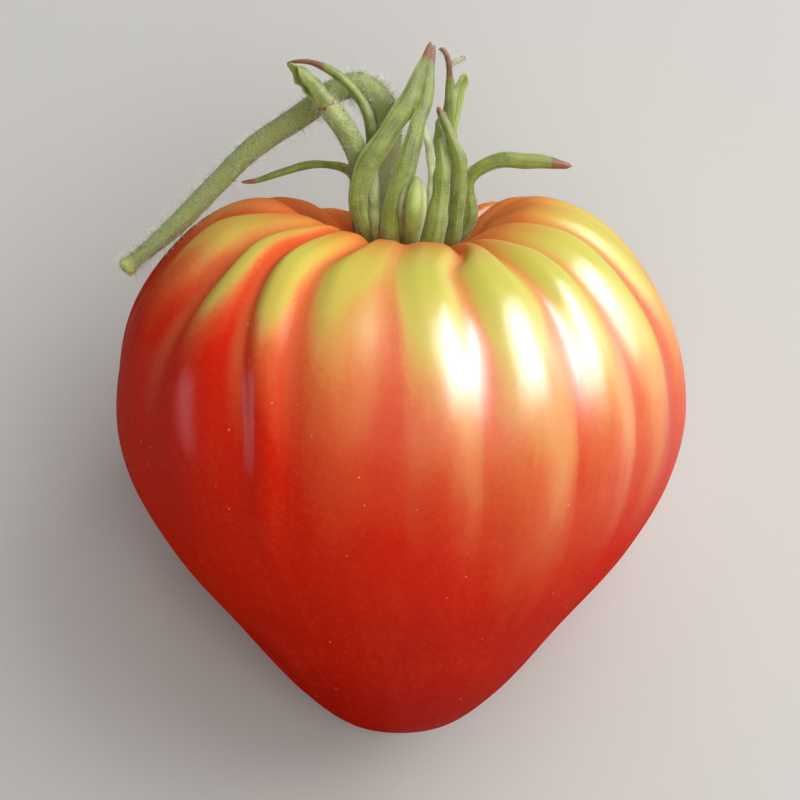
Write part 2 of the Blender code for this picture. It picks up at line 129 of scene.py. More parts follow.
# Sepals. Each has the way its outer face looks at the root, how far it rolls up at its root and at its tip
# in radians to each side, where its dry tip begins along it, how pale it is, and its route from the root as
# (u, v, w, width). The first point is sunk in the pad.
SEPALS = {
    "left_front": ((0.2, -1, 0), (1.2, 0.9), 0.93, 0.0, (
        (-3.8, -4.0, 86.2, 2.8), (-5.4, -6.5, 89.8, 3.2), (-7.1, -8.2, 95.4, 3.6), (-6.1, -8.6, 100.6, 4.0),
        (-3.7, -8.2, 104.6, 4.2), (-1.2, -7.4, 108.4, 4.0), (1.4, -6.4, 112.2, 3.8), (3.0, -5.4, 116.0, 2.9),
        (4.4, -4.6, 119.4, 1.9), (5.3, -4.0, 122.4, 0.8))),
    "slim_front": ((0.3, -1, 0), (1.7, 1.5), 1.0, 0.25, (
        (-2.8, -4.6, 85.8, 1.6), (-4.0, -7.6, 89.4, 1.8), (-4.3, -8.2, 93.4, 1.9), (-4.4, -7.4, 97.4, 1.7),
        (-4.0, -6.2, 101.2, 0.8))),
    "middle_front": ((0.1, -1, 0), (1.3, 1.1), 0.92, 0.1, (
        (-0.6, -4.6, 85.8, 3.4), (-1.5, -8.0, 89.2, 4.4), (-1.2, -9.0, 92.9, 4.2), (-0.5, -9.4, 96.9, 4.0),
        (1.0, -9.4, 101.0, 4.1), (1.9, -8.8, 104.7, 3.4), (3.0, -7.6, 108.4, 3.0), (4.2, -5.6, 112.1, 2.8),
        (5.0, -4.2, 115.7, 2.2), (5.3, -3.2, 118.7, 1.5), (5.9, -2.4, 121.8, 0.7))),
    # The inner strip's paleness is partly painted light: it lifts a strip that lies in the calyx's shade
    "inner_strip": ((0.5, -1, 0), (1.5, 1.2), 1.0, 0.5, (
        (3.2, -4.4, 85.8, 1.8), (4.8, -6.6, 91.0, 2.2), (5.6, -7.2, 97.0, 2.2), (5.6, -7.0, 101.0, 2.0),
        (5.0, -6.6, 104.6, 1.8), (4.0, -6.2, 108.4, 1.3), (3.8, -5.8, 111.4, 0.7))),
    "right_front": ((0.1, -1, 0), (1.3, 1.2), 1.0, 0.05, (
        (3.9, -4.0, 85.8, 3.4), (5.3, -7.4, 88.4, 4.3), (6.3, -8.0, 92.7, 3.6), (6.8, -7.8, 96.7, 3.3),
        (7.1, -7.2, 100.6, 3.1), (6.8, -6.2, 104.2, 2.5), (6.7, -5.2, 106.8, 1.8), (6.5, -4.4, 109.4, 0.7))),
    "right_hooked": ((0.3, -1, 0), (1.7, 2.2), 0.95, 0.0, (
        (6.8, -2.8, 86.8, 2.4), (9.0, -5.2, 89.0, 2.7), (9.6, -6.2, 92.4, 2.6), (9.9, -6.5, 96.4, 2.7),
        (10.3, -6.7, 99.8, 2.7), (10.1, -7.0, 102.4, 2.5), (9.4, -7.0, 104.6, 2.2), (8.4, -6.9, 107.0, 1.8),
        (7.4, -6.6, 109.4, 1.5), (6.4, -6.2, 111.5, 0.8))),
    "right_arched": ((0.6, -1, 0), (1.5, 2.0), 0.9, 0.0, (
        (7.0, -1.2, 87.2, 2.4), (10.4, -2.4, 89.4, 2.7), (11.9, -3.2, 92.8, 3.1), (11.6, -3.8, 96.4, 2.6),
        (11.7, -4.4, 98.6, 2.3), (13.0, -4.9, 100.4, 2.4), (15.2, -5.4, 101.8, 2.7), (18.0, -5.8, 102.4, 2.8),
        (22.0, -6.2, 102.3, 2.7), (25.4, -6.6, 102.0, 2.3), (29.3, -7.0, 101.4, 0.8))),
    "left_arched": ((-1, -0.6, 0), (1.6, 2.2), 0.93, 0.0, (
        (-5.4, 0.6, 86.0, 2.8), (-7.0, 1.0, 90.2, 2.6), (-7.2, 1.2, 94.8, 2.4), (-7.6, 1.4, 98.6, 2.2),
        (-9.8, 1.5, 100.6, 2.0), (-13.2, 1.6, 101.1, 1.8), (-17.0, 1.7, 100.7, 1.6), (-21.2, 1.8, 99.3, 1.3),
        (-25.0, 1.9, 98.1, 1.0), (-27.6, 1.9, 97.8, 0.5))),
    "left_curled": ((-0.4, -1, 0), (1.8, 2.5), 0.86, 0.1, (
        (-3.8, -1.4, 86.0, 2.2), (-5.7, -2.6, 90.2, 2.2), (-6.0, -3.2, 95.1, 2.1), (-5.3, -3.7, 101.0, 2.0),
        (-4.8, -4.2, 106.2, 1.9), (-6.0, -4.6, 111.1, 1.8), (-8.8, -4.8, 115.2, 1.7),
        (-12.3, -4.4, 117.7, 1.4), (-15.3, -3.7, 118.9, 1.0), (-18.9, -3.0, 118.9, 0.6))),
    "tall_rear": ((0.3, -1, 0), (1.3, 2.2), 0.85, 0.0, (
        (4.6, 2.6, 86.0, 2.8), (7.2, 3.4, 90.2, 3.0), (8.4, 3.0, 97.0, 3.0), (8.7, 2.4, 103.8, 2.5),
        (8.6, 1.8, 109.7, 2.2), (8.6, 1.4, 113.6, 1.9), (8.6, 1.1, 116.4, 1.1), (8.4, 0.9, 118.3, 1.0),
        (7.9, 0.7, 120.0, 0.9), (7.2, 0.5, 120.8, 0.8), (6.6, 0.4, 120.8, 0.5))),
    "rear_lobe": ((-0.2, 1, 0), (1.0, 0.8), 1.0, 0.22, (
        (8.6, 1.9, 103.0, 1.0), (9.5, 1.4, 109.0, 1.8), (10.2, 1.0, 113.5, 2.3), (11.1, 0.6, 115.8, 1.6),
        (11.5, 0.4, 116.7, 0.6))),
    "dry_flake": ((0, -1, 0.4), (0.9, 0.9), 1.0, 1.0, (
        (8.5, 0.9, 117.6, 0.6), (9.8, 0.6, 118.9, 1.2), (10.9, 0.5, 119.3, 1.0), (11.5, 0.4, 119.5, 0.5))),
    "rear_left": ((-0.3, 1, 0), (1.0, 1.2), 0.95, 0.0, (
        (-3.0, 3.8, 85.8, 3.2), (-4.3, 7.8, 90.0, 4.0), (-5.1, 11.6, 92.8, 4.2), (-5.8, 16.0, 93.0, 3.4),
        (-6.4, 20.0, 91.4, 2.2), (-6.8, 23.4, 89.4, 0.8))),
    "rear_middle": ((0, 1, 0), (1.0, 1.2), 0.93, 0.0, (
        (1.0, 4.4, 85.8, 3.4), (1.6, 8.4, 90.0, 4.4), (2.0, 12.6, 93.0, 4.4), (2.6, 17.2, 93.0, 3.6),
        (3.0, 21.6, 91.0, 2.2), (3.4, 25.2, 88.8, 0.8))),
    "rear_right": ((0.5, 1, 0), (1.0, 1.2), 0.95, 0.0, (
        (6.2, 2.8, 86.2, 3.0), (8.6, 6.6, 90.2, 3.8), (10.4, 10.6, 93.2, 3.8), (11.8, 14.8, 94.0, 3.2),
        (12.8, 18.4, 93.0, 2.2), (13.4, 21.2, 91.2, 0.8))),
}
FOLDED_BUD = (
    (1.4, -4.8, 85.8, 2.6), (1.7, -8.0, 88.8, 3.2), (1.9, -9.8, 91.6, 4.2), (2.1, -10.6, 94.6, 5.0),
    (2.4, -10.6, 97.2, 4.4), (2.7, -10.2, 99.0, 2.8), (2.9, -9.8, 99.9, 1.2))
ROLLED_SEPAL = (
    (-4.4, -2.4, 85.8, 2.6), (-6.4, -4.6, 91.2, 3.1), (-6.8, -5.2, 97.0, 3.4), (-7.2, -5.4, 102.8, 3.7),
    (-9.2, -5.6, 107.3, 3.8), (-11.9, -5.7, 111.0, 3.7), (-13.4, -5.7, 113.1, 2.6))
SLEEVE = (
    (-12.2, -5.8, 111.4, 3.6), (-13.8, -5.9, 113.6, 3.5), (-15.6, -5.8, 115.6, 3.3),
    (-17.4, -5.6, 117.2, 2.8), (-19.2, -5.2, 118.9, 0.9))
STALK = (
    (-2.3, 0.2, 89.2, 4.4), (-2.3, 0.1, 97.5, 4.0), (-2.1, 0.0, 103.1, 4.1), (-2.0, 0.0, 107.4, 4.4),
    (-2.8, 0.0, 110.9, 4.5), (-4.7, 0.0, 113.5, 4.4), (-7.4, 0.0, 114.8, 4.3), (-10.6, 0.0, 114.0, 4.2),
    (-17.2, 0.1, 109.4, 4.1), (-25.4, 0.2, 103.9, 3.8), (-31.9, 0.3, 97.6, 3.7), (-38.8, 0.5, 90.6, 3.5),
    (-43.4, 0.6, 86.6, 2.9), (-46.6, 0.7, 84.0, 2.5), (-48.2, 0.8, 82.3, 2.5),
)
# The lamps: where each one stands, in degrees to the right of the fruit's front and above its waist, how far
# off it is and its width and length in metres, its colour, and whether reflections show it
WARM = (1.0, 0.99, 0.96)
COOL = (0.97, 0.99, 1.0)
LAMPS = {
    "key": (49, 39, 0.8, (0.62, 0.76), WARM, True),
    "side": (98, 30, 0.8, (0.34, 0.44), WARM, True),
    "halo": (56, 34, 1.0, (1.1, 1.0), COOL, True),
    "window": (-90, -4, 0.9, (0.5, 0.45), (0.85, 0.9, 1.0), True),
    "sky": (20, 75, 0.9, (0.7, 0.5), COOL, False),
    "fill": (12, 2, 0.9, (0.7, 0.5), (1.0, 0.96, 0.92), False),
}
# The pad: its gap over the fruit and its height, in millimetres
SEAT_GAP = 0.4
PAD_HEIGHT = 3.2

# Thickness of the hairs in millimetres, and how many grow on the rolled sepal
LONG_HAIR = 0.07
SHORT_HAIR = 0.05
ROLLED_HAIR = 0.045
SEPAL_HAIR = 0.032
ROLLED_HAIRS = 900

# Steps along each span of a route, and faces round the stalk, the bud and the rolled sepal
STALK_STEPS = 14
GROWTH_STEPS = 9
STALK_SIDES = 40
BUD_SIDES = 48
ROLLED_SIDES = 36
PAD_SIDES = 96
PAD_ROWS = 6


def fruit_place():
    """The matrix from the fruit's frame in millimetres to the row frame, read from the solid's tip."""
    lean = Matrix.Rotation(-REST_LEAN, 4, "X")
    axis = lean @ Vector((0, 0, 1))
    corners = [vert.co.copy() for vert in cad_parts["fruit"].data.vertices]
    tip = min(corners, key=axis.dot)
    return Matrix.Translation(tip) @ lean @ Matrix.Scale(MM, 4)


PLACE = fruit_place()
MIDDLE = PLACE @ Vector((0, 0, OUTLINE[WAIST][1]))


def smoothstep(value, low, high):
    """Rise smoothly from 0 at low to 1 at high."""
    x = np.clip((np.asarray(value, float) - low) / (high - low), 0.0, 1.0)
    return x * x * (3.0 - 2.0 * x)


def turns(sides):
    """The angles of a number of points round a ring."""
    return np.linspace(0, math.tau, sides, endpoint=False)[None, :]


def bump_at(value, centre, width):
    """A bell of height 1 round a centre."""
    return np.exp(-(((value - centre) / width) ** 2))


def smooth_curve(knots, steps):
    """Points on a centripetal Catmull-Rom curve through the knots, with a number of steps in each span."""
    knots = np.array(knots, float)
    chain = np.vstack((2 * knots[0] - knots[1], knots, 2 * knots[-1] - knots[-2]))
    share = np.arange(steps)[:, None] / steps
    spans = []
    for a, b, c, d in zip(chain, chain[1:], chain[2:], chain[3:]):
        t1 = np.linalg.norm(b - a) ** 0.5
        t2 = t1 + np.linalg.norm(c - b) ** 0.5
        t3 = t2 + np.linalg.norm(d - c) ** 0.5
        t = t1 + (t2 - t1) * share
        ab = a + (b - a) * t / t1
        bc = b + (c - b) * (t - t1) / (t2 - t1)
        cd = c + (d - c) * (t - t2) / (t3 - t2)
        left = ab + (bc - ab) * t / t2
        right = bc + (cd - bc) * (t - t1) / (t3 - t1)
        spans.append(left + (right - left) * (t - t1) / (t2 - t1))
    return np.vstack((*spans, knots[-1:]))


def route_curve(route, steps):
    """Points, widths and share of the length along a route of (u, v, w, width)."""
    points = smooth_curve(route, steps)[:, :3]
    widths = smooth_curve([(knot[3], index) for index, knot in enumerate(route)], steps)[:, 0]
    lengths = np.concatenate(((0,), np.cumsum(np.linalg.norm(np.diff(points, axis=0), axis=1))))
    return points, widths, lengths / lengths[-1]


def route_frames(points, facing):
    """Tangent, side and normal along a route, carried along it without twisting."""
    tangents = np.gradient(points, axis=0)
    tangents /= np.linalg.norm(tangents, axis=1)[:, None]
    normal = np.array(facing, float)
    normals = []
    for tangent in tangents:
        normal = normal - tangent * (normal @ tangent)
        normal /= np.linalg.norm(normal)
        normals.append(normal)
    normals = np.array(normals)
    return tangents, np.cross(tangents, normals), normals


def wander(points, size, seed):
    """Smooth noise from -1 to 1 at each point, with hills about as wide as size."""
    offset = Vector((seed * 7.3, seed * 3.1, seed * 5.7))
    flat = np.asarray(points, float).reshape(-1, 3)
    values = [noise.noise(Vector(point) / size + offset) for point in flat]
    return np.array(values).reshape(np.shape(points)[:-1])


class Shape:
    """Points and faces of one piece, with values at each point, gathered grid by grid."""

    def __init__(self):
        self.points = []
        self.faces = []
        self.values = {}
        self.count = 0

    def add(self, points, **values):
        """Add points with their values, and return the number of the first."""
        points = np.asarray(points, float).reshape(-1, 3)
        first = self.count
        self.points.append(points)
        self.count += len(points)
        for name, value in values.items():
            full = np.broadcast_to(np.asarray(value, float).ravel(), (len(points),))
            self.values.setdefault(name, []).append(full)
        return first

    def rings(self, grid, closed=(True, True), winding=1, **values):
        """Add a tube from rows of points round it, with one flat face over each end that is closed.

        A winding of -1 turns all its faces round.
        """
        shape = grid.shape[:2]
        first = self.add(grid, **{name: np.broadcast_to(value, shape) for name, value in values.items()})
        numbers = first + np.arange(shape[0] * shape[1]).reshape(shape)[:, ::winding]
        ahead = np.roll(numbers, -1, axis=1)
        quads = np.stack((numbers[:-1], ahead[:-1], ahead[1:], numbers[1:]), -1)
        self.faces.extend(quads.reshape(-1, 4).tolist())
        if closed[0]:
            self.faces.append(numbers[0][::-1].tolist())
        if closed[1]:
            self.faces.append(numbers[-1].tolist())

    def make(self, name, finish):
        """The piece as an object in the row frame, shaded smooth."""
        points = np.vstack(self.points)
        turned = points @ np.array(PLACE.to_3x3()).T + np.array(PLACE.translation)
        turned[:, 2] = np.maximum(turned[:, 2], 0.0)
        mesh = bpy.data.meshes.new(name)
        mesh.from_pydata(turned.tolist(), [], self.faces)
        for key, parts in self.values.items():
            attribute = mesh.attributes.new(key, "FLOAT", "POINT")
            attribute.data.foreach_set("value", np.concatenate(parts).astype(np.float32))
        mesh.materials.append(finish)
        mesh.shade_smooth()
        mesh.validate()
        piece = bpy.data.objects.new(name, mesh)
        bpy.context.scene.collection.objects.link(piece)
        return piece


class Flow:
    """A shader socket that takes part in Python arithmetic."""

    def __init__(self, tree, socket):
        self.tree = tree
        self.socket = socket

    def math(self, operation, first, second=0.0):
        """The result of a Math node."""
        node = self.tree.nodes.new("ShaderNodeMath")
        node.operation = operation
        for socket, value in zip(node.inputs, (first, second)):
            plug(self.tree, socket, value)
        return Flow(self.tree, node.outputs[0])

    def __add__(self, other):
        return self.math("ADD", self, other)

    def __sub__(self, other):
        return self.math("SUBTRACT", self, other)

    def __rsub__(self, other):
        return self.math("SUBTRACT", other, self)

    def __mul__(self, other):
        return self.math("MULTIPLY", self, other)

    def __truediv__(self, other):
        return self.math("DIVIDE", self, other)

    __radd__ = __add__
    __rmul__ = __mul__


def plug(tree, socket, value):
    """Link a flow to a socket, or set the socket's own value."""
    if isinstance(value, Flow):
        tree.links.new(value.socket, socket)
    elif socket.type == "RGBA":
        socket.default_value = (*value[:3], 1.0)
    else:
        socket.default_value = value


def socket_named(sockets, name):
    """The socket of that name that is in use."""
    return next(socket for socket in sockets if socket.enabled and socket.name == name)


class Finish:
    """One material and the nodes that make it."""

    def __init__(self, name):
        self.material = bpy.data.materials.new(name)
        self.material.use_nodes = True
        self.tree = self.material.node_tree
        self.shader = self.tree.nodes["Principled BSDF"]

    def node(self, kind, settings, sockets, output):
        """A node of a type, with its settings made first, then its sockets' values or links."""
        made = self.tree.nodes.new("ShaderNode" + kind)
        for name, value in settings.items():
            if name == "stops":
                self.set_stops(made.color_ramp, value)
            else:
                setattr(made, name, value)
        for name, value in sockets.items():
            plug(self.tree, socket_named(made.inputs, name), value)
        return Flow(self.tree, socket_named(made.outputs, output))

    @staticmethod
    def set_stops(ramp, stops):
        """Give a colour ramp its (position, colour) stops."""
        while len(ramp.elements) < len(stops):
            ramp.elements.new(1.0)
        for element, (position, color) in zip(ramp.elements, stops):
            element.position = position
            element.color = (*color[:3], 1.0)

    def value(self, name):
        """A value kept at the mesh's points."""
        return self.node("Attribute", {"attribute_name": name}, {}, "Fac")

    def noise(self, size, detail=2.0, rough=0.5, vector=None):
        """Noise with grains of about a size in metres, from 0 to 1."""
        sockets = {"Scale": 1.0 / size, "Detail": detail, "Roughness": rough}
        sockets["Vector"] = vector or self.place()
        return self.node("TexNoise", {}, sockets, "Fac")

    def place(self):
        """The point's own place in metres."""
        return self.node("TexCoord", {}, {}, "Object")

    def dots(self, size):
        """Distance from the nearest of a scatter of points about a size in metres apart, as a share."""
        sockets = {"Scale": 1.0 / size, "Vector": self.place()}
        return self.node("TexVoronoi", {}, sockets, "Distance")

    def step(self, value, low, high):
        """Rise smoothly from 0 where value is low to 1 where it is high."""
        sockets = {"Value": value, "From Min": low, "From Max": high}
        return self.node("MapRange", {"interpolation_type": "SMOOTHSTEP"}, sockets, "Result")

    def mix(self, factor, first, second):
        """A colour between two."""
        sockets = {"Factor": factor, "A": first, "B": second}
        return self.node("Mix", {"data_type": "RGBA"}, sockets, "Result")

    def relief(self, height, depth):
        """A Normal bumped by a height from 0 to 1 that stands for a depth in metres."""
        return self.node("Bump", {}, {"Strength": 1.0, "Distance": depth, "Height": height}, "Normal")

    def finish(self, **sockets):
        """Set the shader's sockets, named with _ for a space, and return the material."""
        for name, value in sockets.items():
            plug(self.tree, self.shader.inputs[name.replace("_", " ")], value)
        return self.material


def tint(name, description, default):
    """A colour for the user to change."""
    return FloatVectorProperty(
        name=name, description=description, subtype="COLOR", default=default, min=0, max=1)


def watts(name, description, default):
    """A light's power for the user to change."""
    return FloatProperty(name=name, description=description, unit="POWER", default=default, min=0)


def number_of(name, description, default, least=0):
    """A count for the user to change."""
    return IntProperty(name=name, description=description, default=default, min=least)


class FruitSettings(bpy.types.PropertyGroup):
    """Colours and fineness of the fruit."""

    unripe: tint("Unripe green", "Colour of the rib tops by the stalk", (0.62, 0.58, 0.095))
    turning: tint("Turning yellow", "Colour where green gives way to red", (0.76, 0.33, 0.09))
    ripe: tint("Ripe red", "Colour of the ripe flank", (0.69, 0.018, 0.005))
    deep: tint("Deep red", "Colour towards the tip", (0.40, 0.005, 0.002))
    gloss: FloatProperty(
        name="Roughness", description="How matte the wax on the skin is", subtype="FACTOR",
        default=0.32, min=0, max=1)
    columns: number_of("Columns", "Columns of faces in a rib", 20, 4)
    rows: number_of("Rows", "Rows of faces between outline points", 17, 2)


class CalyxSettings(bpy.types.PropertyGroup):
    """Colours and sizes of the sepals."""

    green: tint("Leaf green", "Colour of the sepals", (0.255, 0.31, 0.045))
    shade: tint("Dark green", "Colour in the sepals' furrows", (0.12, 0.165, 0.027))
    # The pale margin colour is partly painted light: it also gives rim light on the sepals' edges and the
    # highlight on the folded bud
    margin: tint("Pale margin", "Colour of the sepals' edges and inner faces", (0.44, 0.54, 0.12))
    dry: tint("Dry tip", "Colour of the dried tips", (0.25, 0.10, 0.045))
    thickness: FloatProperty(
        name="Thickness", description="Thickness of a sepal at its middle", unit="LENGTH",
        default=0.0009, min=0.0002)
    hairs: number_of("Hairs", "Short hairs on each sepal", 520)


class StalkSettings(bpy.types.PropertyGroup):
    """Colours and hairs of the stalk."""

    green: tint("Stalk green", "Colour of the stalk", (0.28, 0.33, 0.075))
    # The stalk root colour is partly painted light for the shaded stalk inside the calyx
    root: tint("Stalk root", "Colour of the stalk inside the calyx", (0.62, 0.60, 0.28))
    end: tint("Stalk end", "Colour of the stalk's free end", (0.58, 0.62, 0.13))
    hair_length: FloatProperty(
        name="Hair length", description="Length of the longest hairs", unit="LENGTH",
        default=0.003, min=0)
    long_hairs: number_of("Long hairs", "Number of long hairs", 2000)
    short_hairs: number_of("Short hairs", "Number of short hairs", 5000)


class StageSettings(bpy.types.PropertyGroup):
    """Floor, lights and camera."""

    floor: tint("Floor", "Colour of the floor", (0.56, 0.555, 0.54))
    key: watts("Key light", "Power of the key light", 4.4)
    side: watts("Side light", "Power of the light at the right", 0.8)
    halo: watts("Halo light", "Power of the broad light round the key light", 1.1)
    sky: watts("Sky light", "Power of the broad light beyond the stalk", 1.6)
    fill: watts("Fill light", "Power of the broad light on the fruit's front", 4.2)
    window: watts("Window light", "Power of the small light at the left", 0.45)
    shine: FloatProperty(
        name="Shine", description="How much stronger the lights look in reflections", default=16.0, min=0)
    distance: FloatProperty(
        name="Camera distance", description="From the fruit's middle to the camera", unit="LENGTH",
        default=0.5, min=0.1)


def rib_values(lobe, across, column):
    """A value of each rib's ripening, blended from rib to rib across the grooves."""
    own = np.array([row[column] for row in RIPENING], float)
    before = own[(lobe - 1) % len(own)]
    after = own[(lobe + 1) % len(own)]
    here = own[lobe]
    leftward = 0.5 - 0.5 * smoothstep(across, 0.0, 0.5)
    rightward = 0.5 * smoothstep(across, 0.5, 1.0)
    return here + (before - here) * leftward + (after - here) * rightward


def tongue_heights(lobe, across):
    """How much higher than its tongue the green ends across each rib, joined softly at the grooves."""
    place, rise = np.array([row[5:] for row in RIPENING], float).T
    left, right = rise * (2 * place) ** 2, rise * (2 - 2 * place) ** 2
    joint = (np.roll(right, 1) + left) / 2
    own = rise[lobe] * (2 * (across - place[lobe])) ** 2
    own = own + (joint - left)[lobe] * (1 - smoothstep(across, 0.0, 0.18))
    return own + (np.roll(joint, -1) - right)[lobe] * smoothstep(across, 0.82, 1.0)


def groove_values(lobe, across, column, table):
    """A value of each groove, carried across each rib from its left groove to its right one."""
    own = np.array([row[column] for row in table], float)
    return own[lobe] + (own[(lobe + 1) % len(own)] - own[lobe]) * smoothstep(across, 0.0, 1.0)


def outline_rows(steps):
    """The outline's rows from tip to cavity floor, and each one's place among the outline's points."""
    rows = smooth_curve(OUTLINE, steps)
    return rows, np.arange(len(rows))[:, None] / steps


def outline_points(rows, bearing):
    """Radius and height of each row at a bearing, between the width's outline and the depth's."""
    side = np.sin(bearing) ** 2
    radius = rows[:, 2:3] + (rows[:, 0:1] - rows[:, 2:3]) * side
    height = rows[:, 3:4] + (rows[:, 1:2] - rows[:, 3:4]) * side
    return radius, height


def round_points(radius, bearing, height):
    """Points at a radius and a height, at bearings to the right of the front."""
    return np.stack((radius * np.sin(bearing), -radius * np.cos(bearing), height), -1)


def outline_normals(radius, height):
    """The outline's outward normal, as its radial and upward parts."""
    run = np.gradient(radius, axis=0)
    rise = np.gradient(height, axis=0)
    length = np.hypot(run, rise) + 1e-9
    return rise / length, -run / length


def rib_bearings(place, lobe, across):
    """Each point's bearing in radians, from those of the grooves at the crest, the shoulder and the waist."""
    bearings = np.array([groove[:3] for groove in GROOVES], float)
    crest, shoulder, waist = np.vstack((bearings, bearings[:1] + 360)).T
    edges = waist + (shoulder - waist) * smoothstep(place, WAIST, SHOULDER)
    edges = edges + (crest - shoulder) * smoothstep(place, SHOULDER, CREST)
    spread = RIB_SPREAD * (1 - smoothstep(place, 2, WAIST)) * smoothstep(place, 0, 2)
    edges = edges + spread * np.sin(2 * np.radians(edges))
    return np.radians(edges[:, lobe] + (edges[:, lobe + 1] - edges[:, lobe]) * across)


def groove_depths(place, lobe, across):
    """How far each point is sunk for the groove that it is near."""
    wide, narrow = GROOVE_WIDTHS
    sharpness = wide + (narrow - wide) * smoothstep(place, WAIST + 1, CREST)
    valley = (np.cos(np.pi * across) ** 2)[None, :] ** sharpness
    depth = groove_values(lobe, across, 3, GROOVES)
    reach = np.clip((place - GROOVE_FOOT) / (GROOVE_SHOULDER - GROOVE_FOOT), 0, 1) ** GROOVE_FADE
    return depth * valley * reach * (1 - smoothstep(place, CREST + 1, len(OUTLINE) - 1))


def ripening_values(place, lobe, across, height, ragged):
    """How unripe each point is, how red the line in its groove and how pale the streak on its rib."""
    tongue = tongue_heights(lobe, across)
    green_until = rib_values(lobe, across, 0) + ragged + tongue
    orange_until = rib_values(lobe, across, 1) + ragged
    streak_until = rib_values(lobe, across, 2) + ragged
    above = np.clip((height - green_until) / GREEN_RISE, 0, 1)
    fading = np.maximum(green_until - tongue * 0.5 - orange_until, ORANGE_LEAST)
    below = np.clip((green_until - height) / fading, 0, 1)
    turn = 0.6 + 0.4 * above - 0.6 * below ** 0.9
    line = groove_values(lobe, across, 4, RIPENING) * bump_at(np.minimum(across, 1 - across), 0.0, 0.16)
    line = line * smoothstep(place, WAIST - 1, WAIST + 1.5)
    streak_at = np.array([row[3] for row in RIPENING])[lobe]
    streak = bump_at(across, streak_at, STREAK_WIDTH) * (1 - smoothstep(turn, 0.5, 0.7))
    streak = streak * smoothstep(height, streak_until - 6, streak_until + 36)
    return {"turn": turn, "line": line, "streak": streak * np.sin(np.pi * across) ** 0.3}


def skin_grid(settings):
    """The ribbed skin as rows of points, with the values that its colours follow."""
    rows, place = outline_rows(settings.rows)
    lobe = np.repeat(np.arange(len(GROOVES)), settings.columns)
    across = np.tile(np.arange(settings.columns) / settings.columns, len(GROOVES))
    bearing = rib_bearings(place, lobe, across)
    radius, height = outline_points(rows, bearing)
    dip_at, dip_width, dip, dip_reach = RIM_DIP
    near = bump_at(np.degrees(bearing), dip_at, dip_width) * bump_at(place, CREST, dip_reach)
    height = height - dip * near
    out, up = outline_normals(radius, height)
    raw = round_points(radius, bearing, height)
    hills = wander(raw, 21.0, 1)
    scar = bump_at(radius, 0.0, SCAR_RADIUS) * (place < 2)
    sink = groove_depths(place, lobe, across) - HILL_HEIGHT * hills * smoothstep(place, 1, 4)
    sink = sink + SCAR_DEPTH * scar
    radius = radius - out * sink
    height = height - up * sink
    ragged = wander(raw * (1.6, 1.6, 0.6), 9.0, 4) * 2.4 + hills * 2.0
    values = ripening_values(place, lobe, across, height, ragged)
    values.update({
        "height": height,
        "around_x": np.sin(bearing),
        "around_y": np.cos(bearing),
        "scar": scar,
        "cavity": np.broadcast_to(smoothstep(place, CREST - 1.5, CREST + 0.3), radius.shape),
    })
    return round_points(radius, bearing, height), values


def skin_finish(settings):
    """Waxy skin: green rib tops that turn yellow, orange and red downwards, pale streaks and fine specks."""
    skin = Finish("ripe_skin")
    height = skin.value("height")
    around = {"X": skin.value("around_x"), "Y": skin.value("around_y"), "Z": height / 150.0}
    strip = skin.node("CombineXYZ", {}, around, "Vector")
    streaks = skin.noise(0.09, 3.0, 0.55, strip) - 0.5
    patches = skin.noise(0.012, 3.0, 0.55) - 0.5
    mottle = skin.noise(0.0009, 2.0, 0.6) - 0.5
    turn = skin.value("turn") - skin.value("line") * 0.22 + streaks * 0.16 + patches * 0.10 + mottle * 0.09
    ripening = skin.node("ValToRGB", {"stops": (
        (0.0, settings.ripe),
        (0.24, (0.72, 0.070, 0.020)),
        (0.42, (0.76, 0.16, 0.045)),
        (0.55, settings.turning),
        (0.68, (0.68, 0.52, 0.10)),
        (1.0, settings.unripe),
    )}, {"Fac": turn}, "Color")
    streak = skin.value("streak") * (1.0 + streaks * 1.2)
    streaked = skin.mix(skin.step(streak, 0.0, 0.9) * 0.56, ripening, (0.84, 0.44, 0.16))
    lower = skin.step(height + patches * 16.0 + streaks * 14.0, 40.0, 0.0)
    darkened = skin.mix(lower * 0.85, streaked, settings.deep)
    lined = skin.mix(skin.step(skin.value("line"), 0.15, 1.0) * 0.6, darkened, (0.74, 0.17, 0.06))
    inner = skin.mix(skin.value("cavity") * 0.85, lined, (0.72, 0.14, 0.04))
    mottled = skin.mix(skin.step(mottle, -0.1, 0.3) * 0.05, inner, (0.80, 0.30, 0.08))
    speck = skin.step(skin.dots(0.0048), 0.05, 0.025)
    dotted = skin.mix(speck * 0.45, mottled, (0.85, 0.55, 0.30))
    cork = skin.value("scar")
    color = skin.mix(skin.step(cork, 0.35, 0.9), dotted, (0.20, 0.11, 0.05))
    ripple = skin.noise(0.0045, 2.0, 0.5) * 0.7 + skin.noise(0.0012, 1.0, 0.5) * 0.3
    rough = settings.gloss + patches * 0.08 + cork * 0.4
    right = skin.value("around_x")
    sunny = skin.step(right, -0.45, 0.15) * (0.88 - skin.step(right, 0.78, 0.97) * 0.4)
    shaded = skin.step(height, 84.0, 70.0) * 0.12
    wax = (skin.step(height, 34.0, 64.0) * 0.9 + 0.1) * (sunny + shaded)
    wax = wax * (1.0 - skin.value("cavity") * 0.8)
    return skin.finish(
        Base_Color=color, Roughness=rough, Normal=skin.relief(ripple, 0.00005),
        Subsurface_Weight=0.08, Subsurface_Radius=(1.0, 0.3, 0.15), Subsurface_Scale=0.002,
        Specular_IOR_Level=0.0, Coat_Weight=wax, Coat_Roughness=0.23, Coat_IOR=1.6)


def leaf_course(facing, rolls, route, steps=7, opens=0.35):
    """A sepal's course: its route's points, half widths, share of the length, sides, normals and roll."""
    points, widths, along = route_curve(route, steps)
    _, sides, normals = route_frames(points, facing)
    roll = rolls[0] + (rolls[1] - rolls[0]) * smoothstep(along, opens, 1.0)
    return points, widths / 2, along, sides, normals, roll


